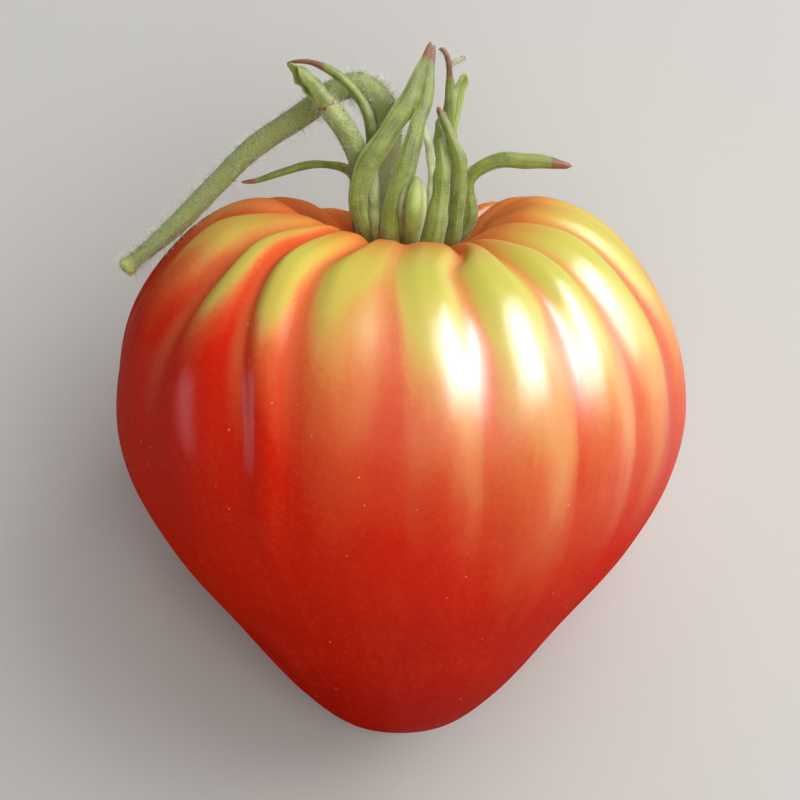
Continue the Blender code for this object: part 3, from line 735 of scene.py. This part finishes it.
def rolled(course, across):
    """Centres, outward spokes and radii of the rolled leaf at places across it, from -1 to 1."""
    points, half, _, sides, normals, roll = course
    span = np.minimum(roll, math.pi / 2)
    radius = half / np.sin(span)
    centre = points - normals * (radius * np.cos(span))[:, None]
    angle = (roll[:, None] * across)[..., None]
    spoke = sides[:, None, :] * np.sin(angle) + normals[:, None, :] * np.cos(angle)
    return centre[:, None, :], spoke, radius[:, None]


def blade(shape, course, settings, seed, dry_from, pale=0.0, rim=0.0):
    """Add one sepal: a rolled blade with a keel, fine ribs, wavy margins and a dry tip."""
    spans = 18
    across = np.linspace(-1, 1, spans + 1)[None, :]
    draw = np.random.default_rng(seed)
    phase = draw.uniform(0, math.tau, 4)
    points, half, along, sides, normals, roll = course
    tip = np.sqrt(np.clip(1 - ((along - 0.97) / 0.03).clip(0, 1) ** 2, 0.02, 1))
    half = half * tip * (1 + 0.05 * np.sin(along * 23 + phase[0]))
    roll = roll * (1 + 0.08 * np.sin(along * 11 + phase[2]))
    centre, spoke, radius = rolled((points, half, along, sides, normals, roll), across)
    along = along[:, None]
    keel = 0.22 * bump_at(across, 0.15, 0.14) * (1 - along) ** 0.5
    furrow = 0.14 * bump_at(across, -0.3, 0.16) * smoothstep(along, 0.02, 0.2) * (1 - along)
    ribs = 0.04 * np.cos(across * 6.5 * math.pi) * (1 - across ** 2)
    wave = 0.14 * across ** 2 * np.sin(along * 31 + phase[1] + 1.7 * across) * smoothstep(along, 0.2, 0.5)
    full = settings.thickness / MM * (0.35 + 0.65 * np.sqrt(1 - across ** 2)) * (1 - 0.4 * along)
    outer_radius = radius + (keel - furrow + ribs + wave) * np.minimum(radius, 1)
    inner_radius = np.maximum(outer_radius - full, 0.3 * radius)
    outer = centre + spoke * outer_radius[..., None]
    inner = centre + spoke * inner_radius[..., None]
    ring = np.concatenate((outer, inner[:, ::-1]), axis=1)
    position = np.concatenate((across, across[:, ::-1]), axis=1)
    inside = np.repeat((0.0, 1.0), spans + 1)[None, :]
    dry = smoothstep(along, dry_from - 0.06, dry_from + 0.05) + rim * smoothstep(np.abs(position), 0.85, 0.97)
    dry = dry + rim * 1.6 * smoothstep(along, 0.12, 0.0)
    shape.rings(ring, along=along, across=position, inside=inside, tone=draw.uniform(), dry=dry, pale=pale)


def tube(shape, points, widths, along, sides, **values):
    """Add a round growth along a route, with a width at each of its points and sides."""
    _, side, normal = route_frames(points, FRONT)
    turn = turns(sides)[..., None]
    spoke = side[:, None, :] * np.cos(turn) + normal[:, None, :] * np.sin(turn)
    grid = points[:, None, :] + spoke * (widths / 2)[..., None]
    shape.rings(grid, winding=-1, along=along[:, None], **values)


def rounded_end(along, end):
    """A factor on a tube's width that closes its far end with a dome."""
    return np.sqrt(np.clip(1 - ((along - 1 + end) / end).clip(0, 1) ** 2, 0.0016, 1))


def leaf_finish(settings):
    """Velvety leaf green with fine ribs, pale margins that are partly painted rim light, paler inner faces, a
    painted highlight on the folded bud, and brown dry tips.
    """
    leaf = Finish("sepal_green")
    across = leaf.value("across")
    along = leaf.value("along")
    pale = leaf.value("pale")
    fibre_place = {"X": across * 2.2, "Y": leaf.value("tone") * 9.0, "Z": along * 2.0}
    fibres = leaf.noise(0.35, 3.0, 0.6, leaf.node("CombineXYZ", {}, fibre_place, "Vector"))
    blotch = leaf.noise(0.0035, 3.0, 0.6)
    down = leaf.noise(0.00032, 2.0, 0.7)
    stipple = leaf.step(leaf.dots(0.0004), 0.34, 0.14)
    base = leaf.mix(leaf.step(fibres * 0.45 + blotch * 0.55, 0.34, 0.62), settings.shade, settings.green)
    # Pale margins: partly the sepals' own paler edges, partly painted rim light where backlit hairs glow
    pale_edge_and_rim_light = leaf.mix(leaf.step(across * across, 0.45, 0.95) * 0.55, base, settings.margin)
    # Inner faces take the pale margin colour; on the folded bud this is a painted highlight
    inner_face_and_painted_highlight = leaf.mix(leaf.value("inside") * 0.5, pale_edge_and_rim_light, settings.margin)
    root = leaf.mix(leaf.step(along, 0.26, 0.04) * 0.4, inner_face_and_painted_highlight, (0.34, 0.33, 0.07))
    fuzz = leaf.mix(leaf.step(down, 0.50, 0.78) * 0.3, root, (0.48, 0.52, 0.19))
    bloom = leaf.step(leaf.noise(0.0022, 2.0, 0.5), 0.5, 0.75) * 0.22
    bloomed = leaf.mix(bloom, fuzz, (0.42, 0.47, 0.20))
    pallor = leaf.mix(leaf.step(pale + (blotch - 0.5) * 0.5, 0.1, 0.95), bloomed, (0.76, 0.78, 0.56))
    grainy = leaf.mix(stipple * leaf.value("grain") * 0.7, pallor, (0.50, 0.50, 0.34))
    dry = leaf.step(leaf.value("dry") + (blotch - 0.5) * 0.7, 0.35, 0.65)
    color = leaf.mix(dry * leaf.step(pale, 0.95, 0.6), grainy, settings.dry)
    height = fibres * 0.3 + down * 0.7
    return leaf.finish(
        Base_Color=color, Roughness=0.46 + blotch * 0.25, Normal=leaf.relief(height, 0.00012),
        Subsurface_Weight=0.1, Subsurface_Radius=(0.5, 1.0, 0.3), Subsurface_Scale=0.0008,
        Specular_IOR_Level=0.12, Sheen_Weight=0.35, Sheen_Roughness=0.45)


def stalk_finish(settings):
    """Green stalk with a dense stipple of pale and dark dots, a pale beige root that is partly its own tone
    and partly painted light in the calyx's shade, and a pale yellow-green free end.
    """
    stalk = Finish("stalk_green")
    blotch = stalk.noise(0.003, 3.0, 0.6)
    raised = stalk.step(stalk.dots(0.00034), 0.44, 0.10)
    specks = stalk.step(stalk.noise(0.00030, 2.0, 0.6), 0.54, 0.70)
    base = stalk.mix(stalk.step(blotch, 0.35, 0.68), settings.green, (0.30, 0.35, 0.11))
    young = stalk.mix(stalk.step(stalk.value("along"), 0.70, 0.92) * 0.6, base, (0.42, 0.50, 0.17))
    # Pale beige root inside the calyx: partly the stalk's own colour, partly painted light lifting it out of
    # the sepals' shade
    root_tone_and_painted_light = stalk.mix(stalk.step(stalk.value("along"), 0.28, 0.18) * 0.85, young, settings.root)
    dotted = stalk.mix(raised * 0.42, root_tone_and_painted_light, (0.62, 0.64, 0.34))
    dark = stalk.mix(specks * 0.42, dotted, (0.11, 0.14, 0.025))
    end = stalk.step(stalk.value("along") + blotch * 0.01, 0.968, 0.985)
    color = stalk.mix(end * 0.85, dark, settings.end)
    return stalk.finish(
        Base_Color=color, Roughness=0.6 + blotch * 0.15, Normal=stalk.relief(raised - specks * 0.5, 0.00014),
        Subsurface_Weight=0.08, Subsurface_Radius=(0.5, 1.0, 0.3), Subsurface_Scale=0.0006,
        Specular_IOR_Level=0.12, Sheen_Weight=0.3, Sheen_Roughness=0.45)


def hair_finish():
    """Fine white hairs, a little green at the root."""
    hair = Finish("white_hair")
    color = hair.mix(hair.step(hair.value("along"), 0.0, 0.5), (0.30, 0.36, 0.14), (0.80, 0.82, 0.68))
    return hair.finish(Base_Color=color, Roughness=0.4 + hair.value("along") * 0.1)


def add_hairs(shape, roots, directions, lengths, thickness, draw):
    """Add thin curved hairs, each a three-sided cone bent at its middle."""
    count = len(roots)
    lean = directions + draw.normal(0, 0.32, (count, 3))
    lean /= np.linalg.norm(lean, axis=1)[:, None]
    bend = lean + draw.normal(0, 0.30, (count, 3))
    bend /= np.linalg.norm(bend, axis=1)[:, None]
    first = np.cross(lean, draw.normal(0, 1, (count, 3)))
    first /= np.linalg.norm(first, axis=1)[:, None]
    second = np.cross(lean, first)
    middle = roots + lean * lengths[:, None] * 0.5
    tips = middle + bend * lengths[:, None] * 0.5
    turn = (np.arange(3) * math.tau / 3)[None, :, None]
    spokes = first[:, None, :] * np.cos(turn) + second[:, None, :] * np.sin(turn)
    base = roots[:, None, :] + spokes * (thickness / 2)
    waist = middle[:, None, :] + spokes * (thickness * 0.36)
    points = np.concatenate((base, waist, tips[:, None, :]), axis=1)
    start = shape.add(points, along=np.tile((0, 0, 0, 0.5, 0.5, 0.5, 1), count))
    numbers = start + np.arange(count)[:, None] * 7
    for side in range(3):
        after = (side + 1) % 3
        shape.faces.extend((numbers + np.array((side, after, 3 + after, 3 + side))).tolist())
        shape.faces.extend((numbers + np.array((3 + side, 3 + after, 6))).tolist())
    shape.faces.extend((numbers + np.array((2, 1, 0))).tolist())


def tube_roots(points, widths, count, draw, span):
    """Random roots and outward directions on a round growth."""
    _, side, normal = route_frames(points, FRONT)
    at = draw.uniform(*span, count) * (len(points) - 1)
    low = np.minimum(at.astype(int), len(points) - 2)
    share = (at - low)[:, None]
    turn = draw.uniform(0, math.tau, count)[:, None]
    centre = points[low] * (1 - share) + points[low + 1] * share
    radius = widths[low, None] * (1 - share) + widths[low + 1, None] * share
    spoke = side[low] * np.cos(turn) + normal[low] * np.sin(turn)
    return centre + spoke * radius / 2 * 0.97, spoke


def dress(piece, slot, *nodes):
    """Let a piece ride on the body and stand for its solids, which it hides. The slot is not used."""
    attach(piece, "root")
    if nodes:
        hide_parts(*nodes)


def make_fruit(settings):
    """The fine skin of the fruit."""
    points, values = skin_grid(settings)
    shape = Shape()
    shape.rings(points[1:-1], closed=(False, False), **{name: value[1:-1] for name, value in values.items()})
    columns = points.shape[1]
    for row, ring in ((0, range(columns)), (-1, range(shape.count - columns, shape.count))):
        pole = shape.add(points[row, 0], **{name: value[row, 0] for name, value in values.items()})
        ring = list(ring)
        for here, there in zip(ring, ring[1:] + ring[:1]):
            shape.faces.append((there, here, pole) if row == 0 else (here, there, pole))
    piece = shape.make("fruit_skin", skin_finish(settings))
    dress(piece, "ripe_skin", "fruit")


def make_pad(finish):
    """The pad that the sepals grow from: its underside follows the cavity and its top is a low dome."""
    rows, _ = outline_rows(PAD_ROWS)
    bearing = turns(PAD_SIDES)
    radius, height = outline_points(rows, bearing)
    out, up = outline_normals(radius, height)
    radius = radius + out * SEAT_GAP
    height = height + up * SEAT_GAP
    seated = np.arange(len(rows) - 2, PAD_ROWS * CAVITY_WALL - 1, -1)
    under = round_points(radius, bearing, height)[seated]
    rim = under[-1]
    top = OUTLINE[-1][1] + SEAT_GAP + PAD_HEIGHT
    share = np.linspace(0.95, 0.05, 12)[:, None]
    swell = np.cos(bearing * 12) * share * (1 - share)
    lift = rim[:, 2] + (top - rim[:, 2]) * (1 - share ** 2) + swell
    dome = np.stack((rim[:, 0] * share, rim[:, 1] * share, lift), -1)
    shape = Shape()
    grid = np.concatenate((under, dome))
    shape.rings(grid, along=0.1, across=0.0, inside=0.0, tone=0.4, dry=0.0, pale=0.0)
    dress(shape.make("calyx_pad", finish), "sepal_green", "calyx")


def make_sepals(settings, finish):
    """All the sepals, each a rolled blade on its own route."""
    shape = Shape()
    for seed, (facing, rolls, dry_from, pale, route) in enumerate(SEPALS.values()):
        blade(shape, leaf_course(facing, rolls, route), settings, seed, dry_from, pale)
    dress(shape.make("sepals", finish), "sepal_green", "calyx")


def make_bud(finish):
    """The folded growth in the front of the calyx: an egg shape with two folds, with a painted highlight in
    its middle, a painted reflection on its left and a painted light rim on its right.
    """
    points, widths, along = route_curve(FOLDED_BUD, GROWTH_STEPS)
    turn = turns(BUD_SIDES)
    fold = 1 - 0.16 * bump_at(turn, 2.35, 0.2) - 0.06 * bump_at(turn, 0.75, 0.2)
    rise = along[:, None]
    # Painted reflection on the bud's left and painted light rim on its right, given as paleness
    painted_sheen = bump_at(turn, 2.75, 0.35) * bump_at(rise, 0.72, 0.2) + 0.7 * bump_at(turn, 0.5, 0.2)
    # Painted highlight in the bud's middle, fed into its across and inside values to lighten it towards the
    # margin colour
    painted_highlight = bump_at(turn, 1.35, 0.7) * bump_at(rise, 0.75, 0.22)
    shape = Shape()
    thickness = widths[:, None] * fold * rounded_end(along, 0.06)[:, None]
    tube(shape, points, thickness, along, BUD_SIDES, across=0.3 + 0.65 * painted_highlight, inside=painted_highlight,
         tone=0.7, dry=0.0, pale=0.1 + 0.5 * painted_sheen, grain=smoothstep(rise, 0.7, 0.35))
    dress(shape.make("folded_bud", finish), "sepal_green", "calyx")


def make_sleeve(settings, finish):
    """The sleeve at the end of the rolled sepal, scooped open at its tip."""
    shape = Shape()
    course = leaf_course((0.8, 0.45, -0.3), (3.0, 0.9), SLEEVE, 10, 0.5)
    blade(shape, course, settings, 40, 1.0, pale=0.15, rim=0.45)
    dress(shape.make("sepal_sleeve", finish), "sepal_green", "calyx")


def make_rolled_sepal(finish):
    """The thick rolled sepal at the upper left, hairy like the stalk."""
    points, widths, along = route_curve(ROLLED_SEPAL, GROWTH_STEPS)
    turn = turns(ROLLED_SIDES)
    seam = 1 - 0.10 * bump_at(turn, 3.6, 0.25) + 0.03 * np.sin(turn * 5)
    shape = Shape()
    thickness = widths[:, None] * seam * rounded_end(along, 0.05)[:, None]
    tube(shape, points, thickness, along, ROLLED_SIDES)
    dress(shape.make("rolled_sepal", finish), "stalk_green", "calyx")


def make_stalk(finish):
    """The arched stalk with faint ridges, a swelling at its knee and a rounded free end."""
    points, widths, along = route_curve(STALK, STALK_STEPS)
    turn = turns(STALK_SIDES)
    ridges = 1 + 0.025 * np.cos(turn * 5 + along[:, None] * 4)
    knee = 1 + 0.06 * bump_at(along, 0.2, 0.02) + 0.05 * bump_at(along, 0.6, 0.03)
    knob = 1 + 0.32 * bump_at(along, 0.985, 0.014)
    lumps = 1 + 0.04 * wander(points, 4.0, 5)
    round_off = rounded_end(along, 0.012)
    full = widths * knee * knob * lumps * round_off
    shape = Shape()
    tube(shape, points, full[:, None] * ridges, along, STALK_SIDES)
    dress(shape.make("stalk_skin", finish), "stalk_green", "stalk")


def make_hairs(settings, calyx):
    """Hairs on the stalk, on the rolled sepal and on the sepals."""
    draw = np.random.default_rng(3)
    longest = settings.hair_length / MM
    hair = hair_finish()
    stalk = Shape()
    points, widths, _ = route_curve(STALK, STALK_STEPS)
    roots, out = tube_roots(points, widths, settings.long_hairs, draw, (0.05, 0.99))
    add_hairs(stalk, roots, out, longest * draw.uniform(0.4, 1.1, len(roots)), LONG_HAIR, draw)
    roots, out = tube_roots(points, widths, settings.short_hairs, draw, (0.02, 1.0))
    add_hairs(stalk, roots, out, draw.uniform(0.25, 0.7, len(roots)), SHORT_HAIR, draw)
    dress(stalk.make("stalk_hairs", hair), "stalk_green", "stalk")
    leaf = Shape()
    points, widths, _ = route_curve(ROLLED_SEPAL, GROWTH_STEPS)
    roots, out = tube_roots(points, widths, ROLLED_HAIRS, draw, (0.3, 1.0))
    add_hairs(leaf, roots, out, draw.uniform(0.3, 1.5, len(roots)) ** 1.5, ROLLED_HAIR, draw)
    for facing, rolls, _, _, route in SEPALS.values():
        course = leaf_course(facing, rolls, route)
        at = draw.integers(3, len(course[0]) - 1, calyx.hairs)
        centre, spoke, radius = rolled([part[at] for part in course], draw.uniform(-1, 1, (calyx.hairs, 1)))
        roots = (centre + spoke * radius[..., None])[:, 0]
        add_hairs(leaf, roots, spoke[:, 0], draw.uniform(0.15, 0.6, calyx.hairs), SEPAL_HAIR, draw)
    dress(leaf.make("calyx_hairs", hair), "sepal_green", "calyx")


def fruit_direction(azimuth, elevation):
    """A direction in the row frame, from degrees right of the fruit's front and above its waist."""
    turn, rise = math.radians(azimuth), math.radians(elevation)
    own = Vector((math.sin(turn) * math.cos(rise), -math.cos(turn) * math.cos(rise), math.sin(rise)))
    return (PLACE.to_3x3() @ own).normalized()


def area_light(name, direction, distance, size, color, power):
    """A soft light of a width and a length along the fruit's axis, looking at the fruit's middle."""
    data = bpy.data.lights.new(name, "AREA")
    data.shape = "RECTANGLE"
    data.energy = power
    data.size, data.size_y = size
    data.color = color
    light = bpy.data.objects.new(name, data)
    side = fruit_direction(0, 90).cross(direction).normalized()
    turned = Matrix((side, direction.cross(side), direction)).transposed().to_4x4()
    light.matrix_world = Matrix.Translation(MIDDLE + direction * distance) @ turned
    bpy.context.scene.collection.objects.link(light)
    return light


def lamp(name, power, shine):
    """A soft light in two parts: one that lights surfaces, and one that only their reflections show."""
    azimuth, elevation, *form, reflected = LAMPS[name]
    direction = fruit_direction(azimuth, elevation)
    area_light(name + "_light", direction, *form, power).visible_glossy = False
    if reflected:
        area_light(name + "_shine", direction, *form, power * shine).visible_diffuse = False


def make_stage(settings):
    """Pale floor, soft lights, world and the camera."""
    bpy.ops.mesh.primitive_plane_add(size=6.0, location=(0, 0, -0.0002))
    floor = bpy.context.object
    floor.name = "floor"
    paint = Finish("pale_floor")
    tone = paint.noise(0.02, 3.0, 0.6)
    floor.data.materials.append(paint.finish(
        Base_Color=paint.mix(tone * 0.05, settings.floor, (0.6, 0.6, 0.58)), Roughness=0.7,
        Specular_IOR_Level=0.05))
    for name in LAMPS:
        lamp(name, getattr(settings, name), settings.shine)
    world = bpy.data.worlds.new("soft_world")
    world.use_nodes = True
    background = world.node_tree.nodes["Background"]
    background.inputs["Color"].default_value = (0.95, 0.97, 1.0, 1.0)
    background.inputs["Strength"].default_value = 0.1
    bpy.context.scene.world = world
    bpy.context.scene.view_settings.view_transform = "Standard"
    camera_data = bpy.data.cameras.new("camera")
    camera_data.lens = CAMERA_SENSOR * PIXELS_PER_MM * settings.distance / MM / PICTURE_WIDTH
    camera_data.sensor_width = CAMERA_SENSOR
    camera = bpy.data.objects.new("camera", camera_data)
    toward = fruit_direction(0, VIEW_ELEVATION)
    camera.location = MIDDLE + toward * settings.distance
    camera.rotation_mode = "QUATERNION"
    camera.rotation_quaternion = (-toward).to_track_quat("-Z", "Y")
    bpy.context.scene.collection.objects.link(camera)
    bpy.context.scene.camera = camera


class OXHEART_OT_fruit(bpy.types.Operator):
    """Build the ribbed skin of the fruit"""

    bl_idname = "oxheart.fruit"
    bl_label = "Fruit"

    def execute(self, context):
        make_fruit(context.scene.oxheart_fruit)
        return {"FINISHED"}


class OXHEART_OT_calyx(bpy.types.Operator):
    """Build the pad, the sepals, the folded bud and the sleeve, all of one leaf green"""

    bl_idname = "oxheart.calyx"
    bl_label = "Calyx"

    def execute(self, context):
        settings = context.scene.oxheart_calyx
        leaf = leaf_finish(settings)
        make_pad(leaf)
        make_sepals(settings, leaf)
        make_bud(leaf)
        make_sleeve(settings, leaf)
        return {"FINISHED"}


class OXHEART_OT_stalk(bpy.types.Operator):
    """Build the arched stalk and the rolled sepal, which share one hairy green"""

    bl_idname = "oxheart.stalk"
    bl_label = "Stalk"

    def execute(self, context):
        finish = stalk_finish(context.scene.oxheart_stalk)
        make_stalk(finish)
        make_rolled_sepal(finish)
        return {"FINISHED"}


class OXHEART_OT_hairs(bpy.types.Operator):
    """Grow the fine hairs of the stalk and the calyx"""

    bl_idname = "oxheart.hairs"
    bl_label = "Hairs"

    def execute(self, context):
        make_hairs(context.scene.oxheart_stalk, context.scene.oxheart_calyx)
        return {"FINISHED"}


class OXHEART_OT_stage(bpy.types.Operator):
    """Set up the floor, the lights and the camera"""

    bl_idname = "oxheart.stage"
    bl_label = "Stage"

    def execute(self, context):
        make_stage(context.scene.oxheart_stage)
        return {"FINISHED"}


OPERATORS = (OXHEART_OT_fruit, OXHEART_OT_calyx, OXHEART_OT_stalk, OXHEART_OT_hairs, OXHEART_OT_stage)
SETTINGS = {
    "oxheart_fruit": FruitSettings,
    "oxheart_calyx": CalyxSettings,
    "oxheart_stalk": StalkSettings,
    "oxheart_stage": StageSettings,
}


class OXHEART_PT_panel(bpy.types.Panel):
    """Lists the pieces and their settings"""

    bl_idname = "OXHEART_PT_panel"
    bl_label = "Oxheart tomato"
    bl_space_type = "VIEW_3D"
    bl_region_type = "UI"
    bl_category = "Tomato"

    def draw(self, context):
        for operator in OPERATORS:
            self.layout.operator(operator.bl_idname)
        for name, group in SETTINGS.items():
            box = self.layout.box()
            for key in group.__annotations__:
                box.prop(getattr(context.scene, name), key)


def register():
    """Register the settings, the operators and the panel."""
    for name, group in SETTINGS.items():
        bpy.utils.register_class(group)
        setattr(bpy.types.Scene, name, PointerProperty(type=group))
    for item in (*OPERATORS, OXHEART_PT_panel):
        bpy.utils.register_class(item)


def unregister():
    """Take away what register added."""
    for item in (OXHEART_PT_panel, *reversed(OPERATORS)):
        bpy.utils.unregister_class(item)
    for name, group in SETTINGS.items():
        delattr(bpy.types.Scene, name)
        bpy.utils.unregister_class(group)


def main():
    register()
    for operator in OPERATORS:
        getattr(bpy.ops.oxheart, operator.bl_idname.split(".")[1])()


if __name__ == "__main__":
    main()
